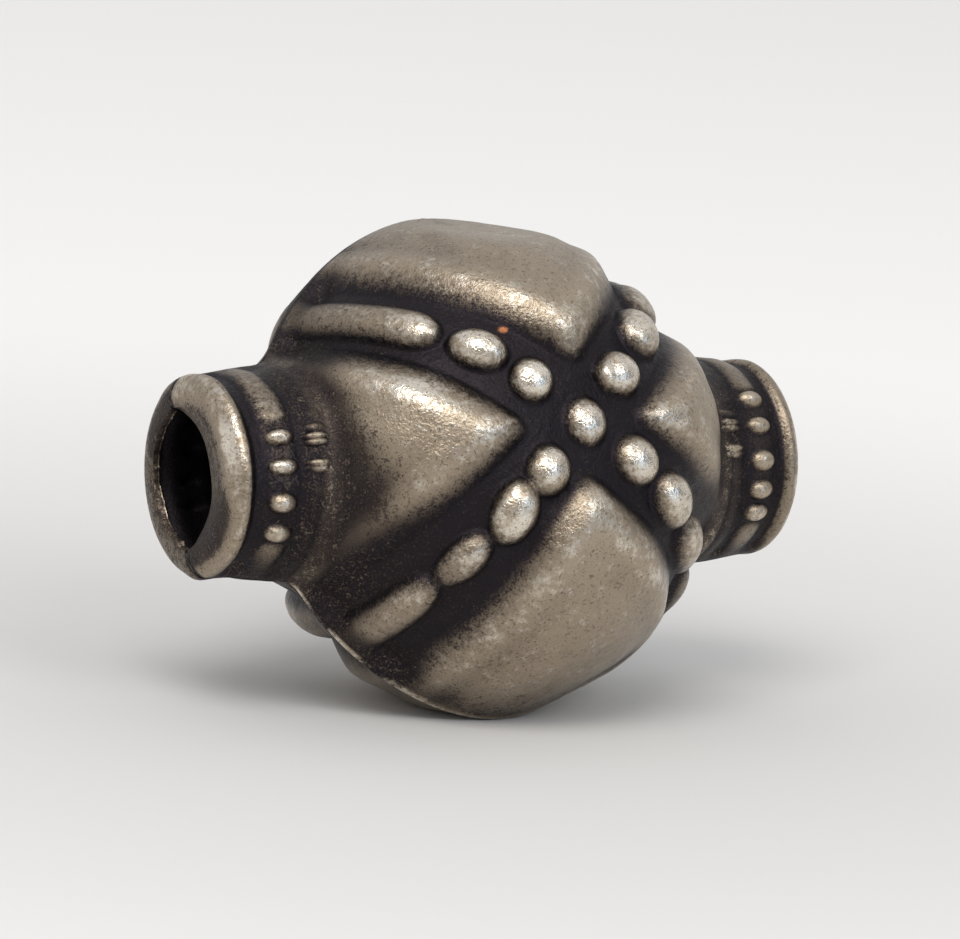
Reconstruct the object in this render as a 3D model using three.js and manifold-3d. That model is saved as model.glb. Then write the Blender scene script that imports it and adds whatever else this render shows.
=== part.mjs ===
// A hollow pressed-metal ojime bead: two like half shells, each stamped with a cross of
// grains and bars between four lobes, soldered together along the plane of the bore.
// Lengths are in millimetres and angles in degrees. X runs along the bore and Z is up as
// the bead lies. In a half shell's own axes the dome faces -Y and its rim lies on y = 0.

import * as THREE from 'three';
import Module from 'manifold-3d';

// Overall sizes
const beadLength = 16.1;
const bodyHeight = 12.34;
const bodyLength = 12.5;
const bodyDepth = 10.8;
const sheet = 0.3;
const solderFilm = 0.06;
const lieAngle = 23;
const footDepth = 0.2; // worn off flat where the bead lies, and at the like place of the other half

// On the side of the far mouth the rims bend in a little, most at one place along the bore.
// The bend dies away along the bore and within an angle of the seam plane.
const rimBend = 0.3;
const rimBendAngle = 30;
const rimBendPlaceShare = 0.3;
const rimBendWidthShare = 0.28;

// Roundness of the body: its outline in the seam plane, its shoulder and its edge
const outlineRoundness = 1.88;
const shoulderRoundness = 2.74;
const edgeRoundness = 1.36;

// Necks and mouths
const neckHeight = 4.8;
const neckDepth = 4.5;
const neckFillet = 0.5;
const neckFlare = 0.18; // how much wider a neck is where the body starts
const neckFlareLength = 1.9;
const lipRound = 0.45;
const mouthFlat = 0.22;
const mouthLedge = 0.03;
const frontMouthStep = 0.78; // from the lip's flat to the mouth edge of the front half
const backMouthStep = 0.12;
const mouthTurnIn = 0.15;

// Collar on a neck, placed by its distance from the mouth. Each grain and bar is given by
// the angles from the upper seam between which it lies.
const neckSunk = 0.15;
const neckSunkEdge = 0.2;
const collarPlace = 1.2;
const collarWidth = 0.8;
const collarRise = 0.22;
const collarRoundAngle = 7;
const leftBarAngles = [[9, 64], [150, 171]];
const rightBarAngles = [[9, 52], [150, 171]];
const leftGrainAngles = [[75, 85], [92.3, 102.7], [109.4, 124.6], [128.5, 144.5]];
const rightGrainAngles = [[58, 70], [76, 88], [97, 111], [115.5, 128.5], [131, 143]];

// Cross pattern on a dome: depth of its sunk arms, lobe shoulders and height of its grains
const armDepth = 0.62;
const armDepthAtRim = 0.34;
const lobeShoulder = 1.2;
const lobeCorner = 0.5;
const grainSize = 1.0;
const grainRise = 0.42;
const grainRiseAtRim = 0.48;
const grainRoot = 0.14;
const seamFade = 0.7;

// Half widths of an arm near the centre and at the rim, as shares of half the body height:
// first on its side towards the next arm, then on its side towards the arm before it
const armNearShare = 0.25;
const armFarShare = 0.86;
const armWidthShares = {
  rightUp: { after: [0.165, 0.11], before: [0.145, 0.15] },
  leftUp: { after: [0.16, 0.135], before: [0.16, 0.145] },
  leftDown: { after: [0.1, 0.2], before: [0.165, 0.18] },
  rightDown: { after: [0.132, 0.18], before: [0.17, 0.12] },
};
const armAngles = { rightUp: 45, leftUp: 141.5, leftDown: 223, rightDown: 323.5 };

// Each grain: [place along its arm, place across it, its length, its width]. The place
// along is a share of the way from the middle to the rim, the place across is a share of
// half the body height, and the length and width are shares of a grain.
const centreGrainShares = [0, 0, 1.1, 1.16];
const armGrainShares = {
  rightUp: [[0.276, 0.004, 1.3, 1.25], [0.554, 0, 1.35, 1.3], [0.782, 0, 1.3, 1.3]],
  leftUp: [[0.296, 0, 1.12, 1.1], [0.532, -0.005, 1.32, 1.22]],
  leftDown: [[0.291, -0.005, 1.32, 1.15], [0.503, 0.008, 1.6, 1.2], [0.721, 0.01, 1.26, 1.32]],
  rightDown: [[0.279, 0, 1.35, 1.2], [0.537, 0, 1.48, 1.26], [0.775, 0, 1.26, 1.22]],
};

// Each bar: [place of its head along its arm, place across it, its width at the head and
// at its end]. The places are shares as for the grains, the widths of half the body height.
const armBarShares = {
  rightUp: [0.863, 0, 0.175, 0.185],
  leftUp: [0.664, 0.005, 0.185, 0.2],
  leftDown: [0.812, 0.012, 0.2, 0.22],
  rightDown: [0.886, 0, 0.175, 0.185],
};
const barEndShare = 0.98; // place of its end, as a share of the way to the rim

// Mesh steps
const bodySteps = 26;
const neckSteps = 5;
const lipSteps = 3;
const aroundSteps = 28;
const grainRings = 6;
const barRings = 7;
const archSteps = 5;
const collarGrainRings = 4;
const probeShare = 0.0005;
const halvings = 40;

// Worked-out sizes
const bodyRadius = bodyHeight / 2;
const bodyHalfLength = bodyLength / 2;
const domeHeight = bodyDepth / 2;
const neckRadius = neckHeight / 2;
const neckSideRadius = neckDepth / 2;
const endX = beadLength / 2;
const mouthCorner = neckRadius - lipRound - mouthFlat - mouthLedge;
const mouthSide = neckSideRadius - lipRound - mouthFlat;
const neckShare = 1 - (neckRadius / bodyRadius) ** outlineRoundness;
const neckStart = bodyHalfLength * neckShare ** (1 / outlineRoundness);
const radians = THREE.MathUtils.degToRad;
const lerp = THREE.MathUtils.lerp;
const clampedStep = THREE.MathUtils.smoothstep;
const footReach = footExtent() - footDepth;

const wasm = await Module();
wasm.setup();

function softMax(a, b, reach) {
  const blend = Math.max(reach - Math.abs(a - b), 0) / reach;
  return Math.max(a, b) + (blend * blend * reach) / 4;
}

function softMin(a, b, reach) {
  return -softMax(-a, -b, reach);
}

// Height of a rounded hump: 1 at its middle, 0 from its edge on
function hump(distanceShare) {
  return Math.sqrt(Math.max(1 - distanceShare ** 2, 0));
}

// Distance from the bore's axis to the plain body, found by halving
function bodyReach(x, angle) {
  const alongShare = Math.abs(x / bodyHalfLength) ** outlineRoundness;
  if (alongShare >= 1) return 0;
  const up = Math.abs(Math.cos(angle)) / bodyRadius;
  const out = Math.max(Math.sin(angle), 0) / domeHeight;
  const fromPlace = (x / bodyHalfLength - rimBendPlaceShare) / rimBendWidthShare;
  const fromRim = Math.min(Math.abs(angle), Math.abs(Math.PI - angle));
  const atRim = 1 - clampedStep(fromRim, 0, radians(rimBendAngle));
  const bend = rimBend * atRim * Math.exp(-(fromPlace ** 2));
  let near = 0;
  let far = bodyRadius + domeHeight;
  for (let pass = 0; pass < halvings; pass += 1) {
    const middle = (near + far) / 2;
    const outline = (alongShare + (middle * up) ** outlineRoundness)
      ** (shoulderRoundness / outlineRoundness);
    if (outline + (middle * out) ** edgeRoundness < 1) near = middle;
    else far = middle;
  }
  return (near + far) / 2 - bend;
}

// How far the body reaches straight down as the bead lies, before it is worn
function footExtent() {
  let extent = 0;
  for (let j = 0; j <= aroundSteps; j += 1) {
    const angle = (Math.PI * j) / (2 * aroundSteps);
    extent = Math.max(extent, bodyReach(0, angle) * Math.cos(angle - radians(lieAngle)));
  }
  return extent;
}

// The body with its worn flat place
function wornReach(x, angle) {
  const facing = Math.cos(angle - radians(lieAngle));
  const plain = bodyReach(x, angle);
  return facing > 0 ? Math.min(plain, footReach / facing) : plain;
}

// Distance of the plain body out of the seam plane, at a place in that plane
function bodyOut(x, z) {
  const outline = Math.abs(x / bodyHalfLength) ** outlineRoundness
    + Math.abs(z / bodyRadius) ** outlineRoundness;
  const left = Math.max(1 - outline ** (shoulderRoundness / outlineRoundness), 0);
  return domeHeight * left ** (1 / edgeRoundness);
}

// Distance from the middle to the rim in the seam plane, along an arm
function armReach(angle) {
  const outline = Math.abs(Math.cos(angle) / bodyHalfLength) ** outlineRoundness
    + Math.abs(Math.sin(angle) / bodyRadius) ** outlineRoundness;
  return outline ** (-1 / outlineRoundness);
}

function neckReach(angle, x) {
  const plain = 1 / Math.hypot(Math.cos(angle) / neckRadius, Math.sin(angle) / neckSideRadius);
  const place = endX - lipRound - Math.abs(x);
  return plain + neckFlare * clampedStep(place, 0, neckFlareLength);
}

// The mouth is a pointed oval: each half shell's edge is one arc between two corners
function mouthEdge(angle, mouthDepth) {
  const arcRadius = (mouthCorner ** 2 + mouthDepth ** 2) / (2 * mouthDepth);
  const z = mouthCorner * Math.cos(angle);
  const out = Math.sqrt(arcRadius ** 2 - z ** 2) - (arcRadius - mouthDepth);
  return [out, z];
}

// Stations from one mouth to the other. Each gives the point of the plain outer surface
// at an angle from the upper seam, as [x, distance out of the seam plane, height].
function stations(mouthDepth) {
  const ring = (x, reach, angle) => [x, reach * Math.sin(angle), reach * Math.cos(angle)];
  const mouth = (side) => (angle) => [side * (endX - mouthTurnIn), ...mouthEdge(angle, mouthDepth)];
  const flat = (side, inset) => (angle) => (
    ring(side * endX, neckReach(angle, endX) - lipRound - inset, angle)
  );
  const lip = (side, share) => (angle) => {
    const turn = (share * Math.PI) / 2;
    const x = side * (endX - lipRound * (1 - Math.cos(turn)));
    return ring(x, neckReach(angle, x) - lipRound * (1 - Math.sin(turn)), angle);
  };
  const barrel = (x) => (angle) => (
    ring(x, softMax(wornReach(x, angle), neckReach(angle, x), neckFillet), angle)
  );
  const end = (side) => {
    const list = [mouth(side), flat(side, mouthFlat), flat(side, 0)];
    for (let i = 1; i < lipSteps; i += 1) list.push(lip(side, i / lipSteps));
    const neckLength = endX - lipRound - neckStart;
    for (let i = 0; i < neckSteps; i += 1) {
      list.push(barrel(side * (endX - lipRound - (neckLength * i) / neckSteps)));
    }
    return list;
  };
  const sweep = Math.asin(neckStart / bodyHalfLength);
  const middle = [];
  for (let i = 0; i <= bodySteps; i += 1) {
    middle.push(barrel(bodyHalfLength * Math.sin(sweep * ((2 * i) / bodySteps - 1))));
  }
  return [...end(-1), ...middle, ...end(1).reverse()];
}

function armWidth(shares, along) {
  const share = clampedStep(along, armNearShare * bodyRadius, armFarShare * bodyRadius);
  return bodyRadius * lerp(shares[0], shares[1], share);
}

function armFloor(x, z) {
  return -lerp(armDepth, armDepthAtRim, Math.min(Math.hypot(x, z) / bodyRadius, 1));
}

// Relief of the dome over the plain body: 0 on the lobes, negative along the sunk arms
function domeRelief(x, z) {
  const places = Object.entries(armAngles).map(([name, degrees]) => {
    const angle = radians(degrees);
    return {
      name,
      along: x * Math.cos(angle) + z * Math.sin(angle),
      across: -x * Math.sin(angle) + z * Math.cos(angle),
    };
  });
  let lobe = -bodyRadius;
  places.forEach((arm, i) => {
    const next = places[(i + 1) % places.length];
    const fromArm = arm.across - armWidth(armWidthShares[arm.name].after, arm.along);
    const fromNext = -next.across - armWidth(armWidthShares[next.name].before, next.along);
    lobe = Math.max(lobe, softMin(fromArm, fromNext, lobeCorner));
  });
  const shoulder = Math.sin((THREE.MathUtils.clamp(lobe / lobeShoulder, 0, 1) * Math.PI) / 2);
  return armFloor(x, z) * (1 - shoulder);
}

// Relief of a neck: a sunk band between the rolled lip and the body
function neckRelief(x) {
  const place = endX - Math.abs(x);
  return -neckSunk * clampedStep(place, lipRound, lipRound + neckSunkEdge);
}

// The relief dies away towards the rim, so that the two half shells meet evenly
function relief([x, y, z]) {
  const onNeck = clampedStep(Math.abs(x), neckStart - neckFillet, neckStart);
  const dome = onNeck < 1 ? domeRelief(x, z) : 0;
  return lerp(dome, neckRelief(x), onNeck) * clampedStep(y, 0, seamFade);
}

// Closed half shell: an outer and an inner sheet, joined by its rims and mouth edges
function halfShell(mouthDepth) {
  const along = stations(mouthDepth);
  const last = aroundSteps;
  const probe = Math.PI * probeShare;
  const point = (i, angle) => (
    new THREE.Vector3(...along[THREE.MathUtils.clamp(i, 0, along.length - 1)](angle))
  );
  const outer = [];
  const inner = [];
  for (let i = 0; i < along.length; i += 1) {
    for (let j = 0; j <= last; j += 1) {
      const angle = (Math.PI * j) / last;
      const onRim = j === 0 || j === last;
      const here = point(i, angle);
      const lengthwise = point(i + 1, angle).sub(point(i - 1, angle));
      const round = point(i, angle + probe).sub(point(i, angle - probe));
      const normal = new THREE.Vector3().crossVectors(lengthwise, round);
      if (onRim) normal.y = 0;
      normal.normalize();
      const raised = onRim ? 0 : relief(here.toArray());
      const outside = here.clone().addScaledVector(normal, raised);
      const inside = outside.clone().addScaledVector(normal, -sheet);
      for (const [list, p] of [[outer, outside], [inner, inside]]) {
        list.push(p.x, -(onRim ? 0 : p.y) - solderFilm / 2, p.z);
      }
    }
  }
  const columns = last + 1;
  const rows = along.length;
  const innerStart = rows * columns;
  const indices = [];
  const quad = (a, b, c, d) => indices.push(a, b, c, a, c, d);
  const out = (i, j) => i * columns + j;
  const back = (i, j) => innerStart + i * columns + j;
  for (let i = 0; i < rows - 1; i += 1) {
    for (let j = 0; j < last; j += 1) {
      quad(out(i, j), out(i, j + 1), out(i + 1, j + 1), out(i + 1, j));
      quad(back(i, j), back(i + 1, j), back(i + 1, j + 1), back(i, j + 1));
    }
    quad(out(i, 0), out(i + 1, 0), back(i + 1, 0), back(i, 0));
    quad(out(i, last), back(i, last), back(i + 1, last), out(i + 1, last));
  }
  for (let j = 0; j < last; j += 1) {
    const end = rows - 1;
    quad(out(0, j), back(0, j), back(0, j + 1), out(0, j + 1));
    quad(out(end, j), out(end, j + 1), back(end, j + 1), back(end, j));
  }
  return { points: [...outer, ...inner], indices, rows, columns, innerStart };
}

// Solder between the two rims on one side of the bore: a thin strip with the rims' outline
function solderSeam(shell, column) {
  const points = [];
  for (const y of [-solderFilm / 2, solderFilm / 2]) {
    for (const start of [0, shell.innerStart]) {
      for (let i = 0; i < shell.rows; i += 1) {
        const k = 3 * (start + i * shell.columns + column);
        points.push(shell.points[k], y, shell.points[k + 2]);
      }
    }
  }
  const at = (face, edge, i) => (face * 2 + edge) * shell.rows + i;
  const indices = [];
  const quad = (a, b, c, d) => {
    if (column === 0) indices.push(a, b, c, a, c, d);
    else indices.push(a, c, b, a, d, c);
  };
  const end = shell.rows - 1;
  for (let i = 0; i < end; i += 1) {
    quad(at(0, 0, i), at(0, 1, i), at(0, 1, i + 1), at(0, 0, i + 1));
    quad(at(1, 0, i), at(1, 0, i + 1), at(1, 1, i + 1), at(1, 1, i));
    quad(at(0, 0, i), at(0, 0, i + 1), at(1, 0, i + 1), at(1, 0, i));
    quad(at(0, 1, i), at(1, 1, i), at(1, 1, i + 1), at(0, 1, i + 1));
  }
  quad(at(0, 0, 0), at(1, 0, 0), at(1, 1, 0), at(0, 1, 0));
  quad(at(0, 0, end), at(0, 1, end), at(1, 1, end), at(1, 0, end));
  return { points, indices };
}

// A raised grain or bar: half-round rings along a path on the sunk surface. The path gives
// a place's frame on that surface, and its ends close to one point each.
function ridge(path, rings, halfWidth, rise) {
  const points = [];
  const ringSize = archSteps + 3;
  for (let k = 1; k < rings; k += 1) {
    const share = (1 - Math.cos((Math.PI * k) / rings)) / 2;
    const { centre, normal, side } = path(share);
    const wide = halfWidth(share);
    const high = rise(share);
    const add = (a, b) => {
      points.push(centre.clone().addScaledVector(side, a).addScaledVector(normal, b));
    };
    for (let j = 0; j <= archSteps; j += 1) {
      const turn = (Math.PI * j) / archSteps;
      add(wide * Math.cos(turn), high * Math.sin(turn));
    }
    add(-wide, -grainRoot);
    add(wide, -grainRoot);
  }
  for (const share of [0, 1]) {
    const { centre, normal } = path(share);
    points.push(centre.clone().addScaledVector(normal, -grainRoot / 2));
  }
  const rows = rings - 1;
  const first = rows * ringSize;
  const indices = [];
  for (let j = 0; j < ringSize; j += 1) {
    const next = (j + 1) % ringSize;
    for (let k = 0; k < rows - 1; k += 1) {
      const a = k * ringSize;
      indices.push(a + j, a + next, a + ringSize + next, a + j, a + ringSize + next, a + ringSize + j);
    }
    const tail = (rows - 1) * ringSize;
    indices.push(first, next, j, first + 1, tail + j, tail + next);
  }
  return { points: points.flatMap((p) => p.toArray()), indices };
}

// Frame on the sunk floor of an arm, at a place along and across the arm
function armFrame(angle, along, across) {
  const place = (a) => [
    a * Math.cos(angle) - across * Math.sin(angle),
    a * Math.sin(angle) + across * Math.cos(angle),
  ];
  const surface = (x, z) => new THREE.Vector3(x, -bodyOut(x, z), z);
  const probe = bodyHeight * probeShare;
  const [x, z] = place(along);
  const lengthwise = surface(...place(along + probe)).sub(surface(...place(along - probe)));
  const towardsX = surface(x + probe, z).sub(surface(x - probe, z));
  const towardsZ = surface(x, z + probe).sub(surface(x, z - probe));
  const normal = towardsX.cross(towardsZ).normalize();
  const side = normal.clone().cross(lengthwise).normalize();
  const centre = surface(x, z).addScaledVector(normal, armFloor(x, z));
  centre.y -= solderFilm / 2;
  return { centre, normal, side };
}

// Frame on the sunk band of a neck, at an angle from the upper seam
function neckFrame(end, angle) {
  const x = end * (endX - collarPlace);
  const reach = neckReach(angle, x) - neckSunk;
  const normal = new THREE.Vector3(0, -Math.sin(angle), Math.cos(angle));
  const centre = normal.clone().multiplyScalar(reach);
  centre.x = x;
  centre.y -= solderFilm / 2;
  return { centre, normal, side: new THREE.Vector3(1, 0, 0) };
}

function riseAt(along) {
  return lerp(grainRise, grainRiseAtRim, clampedStep(along / bodyRadius, 0, armFarShare));
}

function crossGrain(angle, [along, across, length, width]) {
  const half = (length * grainSize) / 2;
  const middle = along * armReach(angle);
  const path = (share) => armFrame(angle, middle + half * (2 * share - 1), across * bodyRadius);
  const round = (share) => hump(2 * share - 1);
  return ridge(
    path,
    grainRings,
    (share) => ((width * grainSize) / 2) * round(share),
    (share) => riseAt(middle) * round(share),
  );
}

function crossBar(angle, [head, across, headWidth, rimWidth]) {
  const length = (barEndShare - head) * armReach(angle);
  const start = head * armReach(angle);
  const path = (share) => armFrame(angle, start + length * share, across * bodyRadius);
  const width = (share) => (bodyRadius * lerp(headWidth, rimWidth, share)) / 2;
  const round = (share) => Math.min(
    hump(Math.min((share * length) / width(0) - 1, 0)),
    hump(Math.min(((1 - share) * length) / width(1) - 1, 0)),
  );
  return ridge(
    path,
    barRings,
    (share) => width(share) * round(share),
    (share) => riseAt(start + length * share) * round(share),
  );
}

function collarPiece(end, fromAngle, toAngle, rings) {
  const path = (share) => neckFrame(end, radians(lerp(fromAngle, toAngle, share)));
  const roundShare = Math.min((2 * collarRoundAngle) / (toAngle - fromAngle), 1);
  const round = (share) => hump(Math.min((2 * Math.min(share, 1 - share)) / roundShare - 1, 0));
  return ridge(
    path,
    rings,
    (share) => (collarWidth / 2) * round(share),
    (share) => collarRise * round(share),
  );
}

// Everything that stands up from the sunk surfaces of one half shell
function raisedPieces() {
  const pieces = [crossGrain(0, centreGrainShares)];
  for (const [name, degrees] of Object.entries(armAngles)) {
    const angle = radians(degrees);
    for (const shares of armGrainShares[name]) pieces.push(crossGrain(angle, shares));
    pieces.push(crossBar(angle, armBarShares[name]));
  }
  for (const [end, grains, bars] of [
    [-1, leftGrainAngles, leftBarAngles],
    [1, rightGrainAngles, rightBarAngles],
  ]) {
    for (const [from, to] of grains) pieces.push(collarPiece(end, from, to, collarGrainRings));
    for (const [from, to] of bars) pieces.push(collarPiece(end, from, to, barRings));
  }
  return pieces;
}

function solid({ points, indices }) {
  return new wasm.Manifold(new wasm.Mesh({
    numProp: 3,
    vertProperties: new Float32Array(points),
    triVerts: new Uint32Array(indices),
  }));
}

function geometryOf(points, indices) {
  const geometry = new THREE.BufferGeometry();
  geometry.setAttribute('position', new THREE.BufferAttribute(new Float32Array(points), 3));
  geometry.setIndex([...indices]);
  geometry.computeVertexNormals();
  return geometry;
}

function stampedShell(shell) {
  const whole = raisedPieces().reduce((body, piece) => body.add(solid(piece)), solid(shell));
  const mesh = whole.getMesh();
  return geometryOf(mesh.vertProperties, mesh.triVerts);
}

// Finishes
const wornSilver = { color: 0x9a9082, roughness: 0.38, metalness: 1 };
const duskySolder = { color: 0x4a4640, roughness: 0.55, metalness: 1 };

function namedPiece(name, geometry, finish) {
  const mesh = new THREE.Mesh(geometry, new THREE.MeshStandardMaterial(finish));
  mesh.name = name;
  return mesh;
}

const front = halfShell(mouthSide - frontMouthStep);
const back = halfShell(mouthSide - backMouthStep);
const upperSeam = solderSeam(front, 0);
const lowerSeam = solderSeam(front, aroundSteps);

const bead = new THREE.Group();
bead.name = 'ojime_bead';
const backShell = namedPiece('back_half_shell', stampedShell(back), wornSilver);
backShell.rotation.x = Math.PI;
bead.add(namedPiece('front_half_shell', stampedShell(front), wornSilver));
bead.add(backShell);
bead.add(namedPiece('upper_solder_seam', geometryOf(upperSeam.points, upperSeam.indices), duskySolder));
bead.add(namedPiece('lower_solder_seam', geometryOf(lowerSeam.points, lowerSeam.indices), duskySolder));
bead.rotation.x = -radians(lieAngle);

export default bead;
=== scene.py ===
"""The looks of a hollow pressed-metal ojime bead: two stamped half shells in worn, darkened
silver, soldered along the plane of the bore. Lengths are in metres, X runs along the bore
and Z is up. A half shell's own axes are x along the bore, out from the seam plane towards
the top of its dome, and z up the seam plane, before the bead is turned to lie as it does."""

import math

import bpy
import numpy as np
from mathutils import Matrix, Vector, noise


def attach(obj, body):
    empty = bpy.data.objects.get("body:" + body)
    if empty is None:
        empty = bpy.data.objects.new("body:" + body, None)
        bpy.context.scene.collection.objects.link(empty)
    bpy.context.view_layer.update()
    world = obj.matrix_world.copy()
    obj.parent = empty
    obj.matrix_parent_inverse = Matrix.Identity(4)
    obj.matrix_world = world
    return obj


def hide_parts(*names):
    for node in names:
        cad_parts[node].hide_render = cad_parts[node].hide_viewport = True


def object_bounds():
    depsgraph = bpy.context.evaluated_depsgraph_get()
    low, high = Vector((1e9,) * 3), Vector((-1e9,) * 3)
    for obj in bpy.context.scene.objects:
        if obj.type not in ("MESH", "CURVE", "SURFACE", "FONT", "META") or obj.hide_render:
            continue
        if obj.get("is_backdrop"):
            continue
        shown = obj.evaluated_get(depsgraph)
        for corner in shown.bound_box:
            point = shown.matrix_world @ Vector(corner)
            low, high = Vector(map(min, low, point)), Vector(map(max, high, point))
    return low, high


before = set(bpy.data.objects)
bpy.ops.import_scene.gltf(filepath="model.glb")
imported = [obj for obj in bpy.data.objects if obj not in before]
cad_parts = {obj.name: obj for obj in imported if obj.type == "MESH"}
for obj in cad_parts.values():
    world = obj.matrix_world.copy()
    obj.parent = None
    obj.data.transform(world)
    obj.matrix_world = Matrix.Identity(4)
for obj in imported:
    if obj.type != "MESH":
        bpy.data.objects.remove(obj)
CAD_LOW, CAD_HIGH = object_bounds()

bl_info = {
    "name": "Ojime bead",
    "version": (1, 0, 0),
    "blender": (4, 5, 0),
    "location": "View3D > Sidebar > Ojime bead",
    "description": "Models a stamped metal ojime bead from two soldered half shells",
    "category": "Add Mesh",
}

MM = 0.001


def mm(*values):
    """Lengths in millimetres, as metres"""
    return tuple(value * MM for value in values)


SHELL_NODES = {"front": "front_half_shell", "back": "back_half_shell"}
SEAM_NODES = ("upper_solder_seam", "lower_solder_seam")

# Which way each sunk arm of the cross runs, in degrees from +X towards +Z
ARM_ANGLES = {"right_up": 45.0, "left_up": 141.5, "left_down": 223.0, "right_down": 323.5}

# Half widths of an arm near the centre and at the rim, as shares of half the body height:
# on its side towards the next arm, then on its side towards the arm before it
ARM_WIDTH_SHARES = {
    "right_up": ((0.165, 0.11), (0.145, 0.15)),
    "left_up": ((0.16, 0.135), (0.16, 0.145)),
    "left_down": ((0.1, 0.2), (0.165, 0.18)),
    "right_down": ((0.132, 0.18), (0.17, 0.12)),
}

# Between which shares of half the body height an arm goes from its first width to its last
ARM_SPREAD_SHARES = (0.25, 0.86)

# Each grain of an arm: its place along the arm and across it, as shares of half the body
# height, then its length and width as shares of a grain, its turn in degrees, and how much
# lower than the rest it stands, in millimetres
CENTRE_GRAIN_SHARES = (-0.006, 1.2, 1.26)
ARM_GRAIN_SHARES = {
    "right_up": (
        (0.272, 0.004, 1.35, 1.25, -40, 0.0),
        (0.208, 0.05, 0.5, 0.85, -45, 0.04),
        (0.545, 0.0, 1.45, 1.4, 0, 0.0),
        (0.77, 0.0, 1.4, 1.4, 0, 0.06),
    ),
    "left_up": ((0.292, 0.0, 1.22, 1.2, 20, 0.0), (0.525, -0.005, 1.42, 1.14, 16, 0.0)),
    "left_down": (
        (0.287, -0.005, 1.42, 1.25, 15, 0.0),
        (0.492, 0.008, 1.66, 1.24, 30, 0.0),
        (0.712, 0.012, 1.26, 1.06, 0, 0.1),
    ),
    "right_down": (
        (0.275, 0.0, 1.45, 1.3, 0, 0.0),
        (0.53, 0.0, 1.6, 1.36, 0, 0.0),
        (0.765, 0.0, 1.35, 1.3, 0, 0.0),
    ),
}

# Height of the grains' tops over the lobes, in millimetres, at shares of the way out
GRAIN_PLACE_SHARES = (0.0, 0.27, 0.5, 1.0)
GRAIN_TOPS = (-0.2, -0.08, 0.02, 0.06)

# Each bar: places of its head and its end along the arm, its place across it, its width at
# the head and at the end, and how much lower it stands there, in millimetres
ARM_BAR_SHARES = {
    "right_up": (0.85, 0.99, 0.0, 0.19, 0.2, 0.05, 0.1),
    "left_up": (0.655, 0.99, 0.005, 0.185, 0.19, 0.0, 0.16),
    "left_down": (0.795, 0.99, 0.012, 0.175, 0.2, 0.04, 0.06),
    "right_down": (0.875, 0.99, 0.0, 0.19, 0.2, 0.0, 0.0),
}

# Collar on the near neck (-1) and the far one (1): each grain's angle from the upper seam
# and half its width as an angle, then the angles at which its bars start and stop
COLLAR_GRAINS = {
    -1: ((79.5, 5.2), (97.5, 5.2), (119.0, 6.8), (138.0, 6.2)),
    1: ((64.0, 6.0), (82.0, 6.0), (104.0, 7.0), (122.0, 6.5), (137.0, 6.0)),
}
COLLAR_BARS = {-1: ((4.0, 64.0), (150.0, 178.0)), 1: ((4.0, 52.0), (150.0, 178.0))}

# Fine ribs behind the collar: each one's angle from the upper seam and its height in
# millimetres
RIBS = (
    (66.0, 0.02), (75.0, 0.07), (80.5, 0.13), (84.0, 0.12),
    (96.0, 0.14), (99.5, 0.1), (112.0, 0.03),
)

# Low rings round the neck: each one's place from the mouth, half its width, its height and
# how much higher it stands on the lower side, all in millimetres
RINGS = ((2.5, 0.26, 0.03, 0.05), (2.04, 0.2, 0.0, 0.05), (1.24, 0.42, 0.04, 0.0))

# Torn edge of the back half's mouths: slow waves as heights in millimetres, waves to the
# radian and starts, then each nick's angle from the upper seam, half its width as an angle
# and its depth in millimetres, below 0 where a shred is left
TORN_WAVES = ((0.04, 3.1, 0.6), (0.02, 7.3, 2.0))
NICKS = (
    (14.0, 5.0, -0.1), (22.0, 4.0, 0.12), (31.0, 4.5, -0.12), (41.0, 5.0, 0.05), (63.0, 3.0, 0.03),
    (79.0, 4.0, -0.03), (96.0, 5.0, 0.04), (108.0, 2.5, -0.035), (121.0, 4.0, 0.04),
    (133.0, 3.0, -0.04), (146.0, 5.0, 0.06), (156.0, 3.5, -0.09), (166.0, 4.0, 0.08),
)

# Near the open mouth the front half reaches past the seam plane: how far, in millimetres,
# at places across the neck
OVERLAP_PLACES = (-2.4, -2.0, -1.6, -0.6, 0.6, 1.6, 2.0, 2.4)
OVERLAPS = (0.3, 0.48, 0.48, 0.0, 0.0, 0.2, 0.38, 0.08)

# Slight dents of the sheet: height in millimetres and how many of them go to the metre
WIDE_DENTS = (0.016, 900)
SMALL_DENTS = (0.009, 2300)

# Steps along the body, a neck and a lip, and round a shell, of the grids of its outer
# sheet and of its inner sheet, which is hardly seen
OUTER_STEPS = (236, 44, 7, 210)
INNER_STEPS = (60, 12, 3, 60)

# How many cells round a point its crest is measured over, and the burr that holds no soot
CREST_CELLS = 9
CLEAN_BURR = 0.02 * MM

# Each lamp: its place, its width, its share of the main lamp's power and its tint
LAMPS = {
    "window": ((0.04, -0.32, 0.232), 0.15, 0.35, (1.0, 0.99, 0.97)),
    "key": ((-0.18, -0.18, 0.305), 0.2, 1.0, (1.0, 0.98, 0.94)),
    "side": ((0.142, -0.364, 0.076), 0.24, 0.3, (0.5, 0.72, 1.0)),
}
CAMERA_AIM = mm(0.075, -0.067, -0.077)
FLOOR_WIDTH = 4.0
# Painted shade on the floor round the bead: where it starts to lighten and where it ends
FLOOR_NEAR_REACH = mm(8, 60)
PALE = (0.84, 0.835, 0.82)
SKY = (0.97, 0.98, 1.0)
ROOM = (0.3, 0.28, 0.27)


def length(name, text, millimetres):
    return bpy.props.FloatProperty(
        name=name, description=text, default=millimetres * MM, min=0.0,
        subtype="DISTANCE", unit="LENGTH", precision=5,
    )


def colour(name, text, value):
    return bpy.props.FloatVectorProperty(
        name=name, description=text, default=value, size=3, min=0.0, max=1.0, subtype="COLOR",
    )


def strength(name, text, value, high):
    return bpy.props.FloatProperty(name=name, description=text, default=value, min=0.0, max=high)


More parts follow.
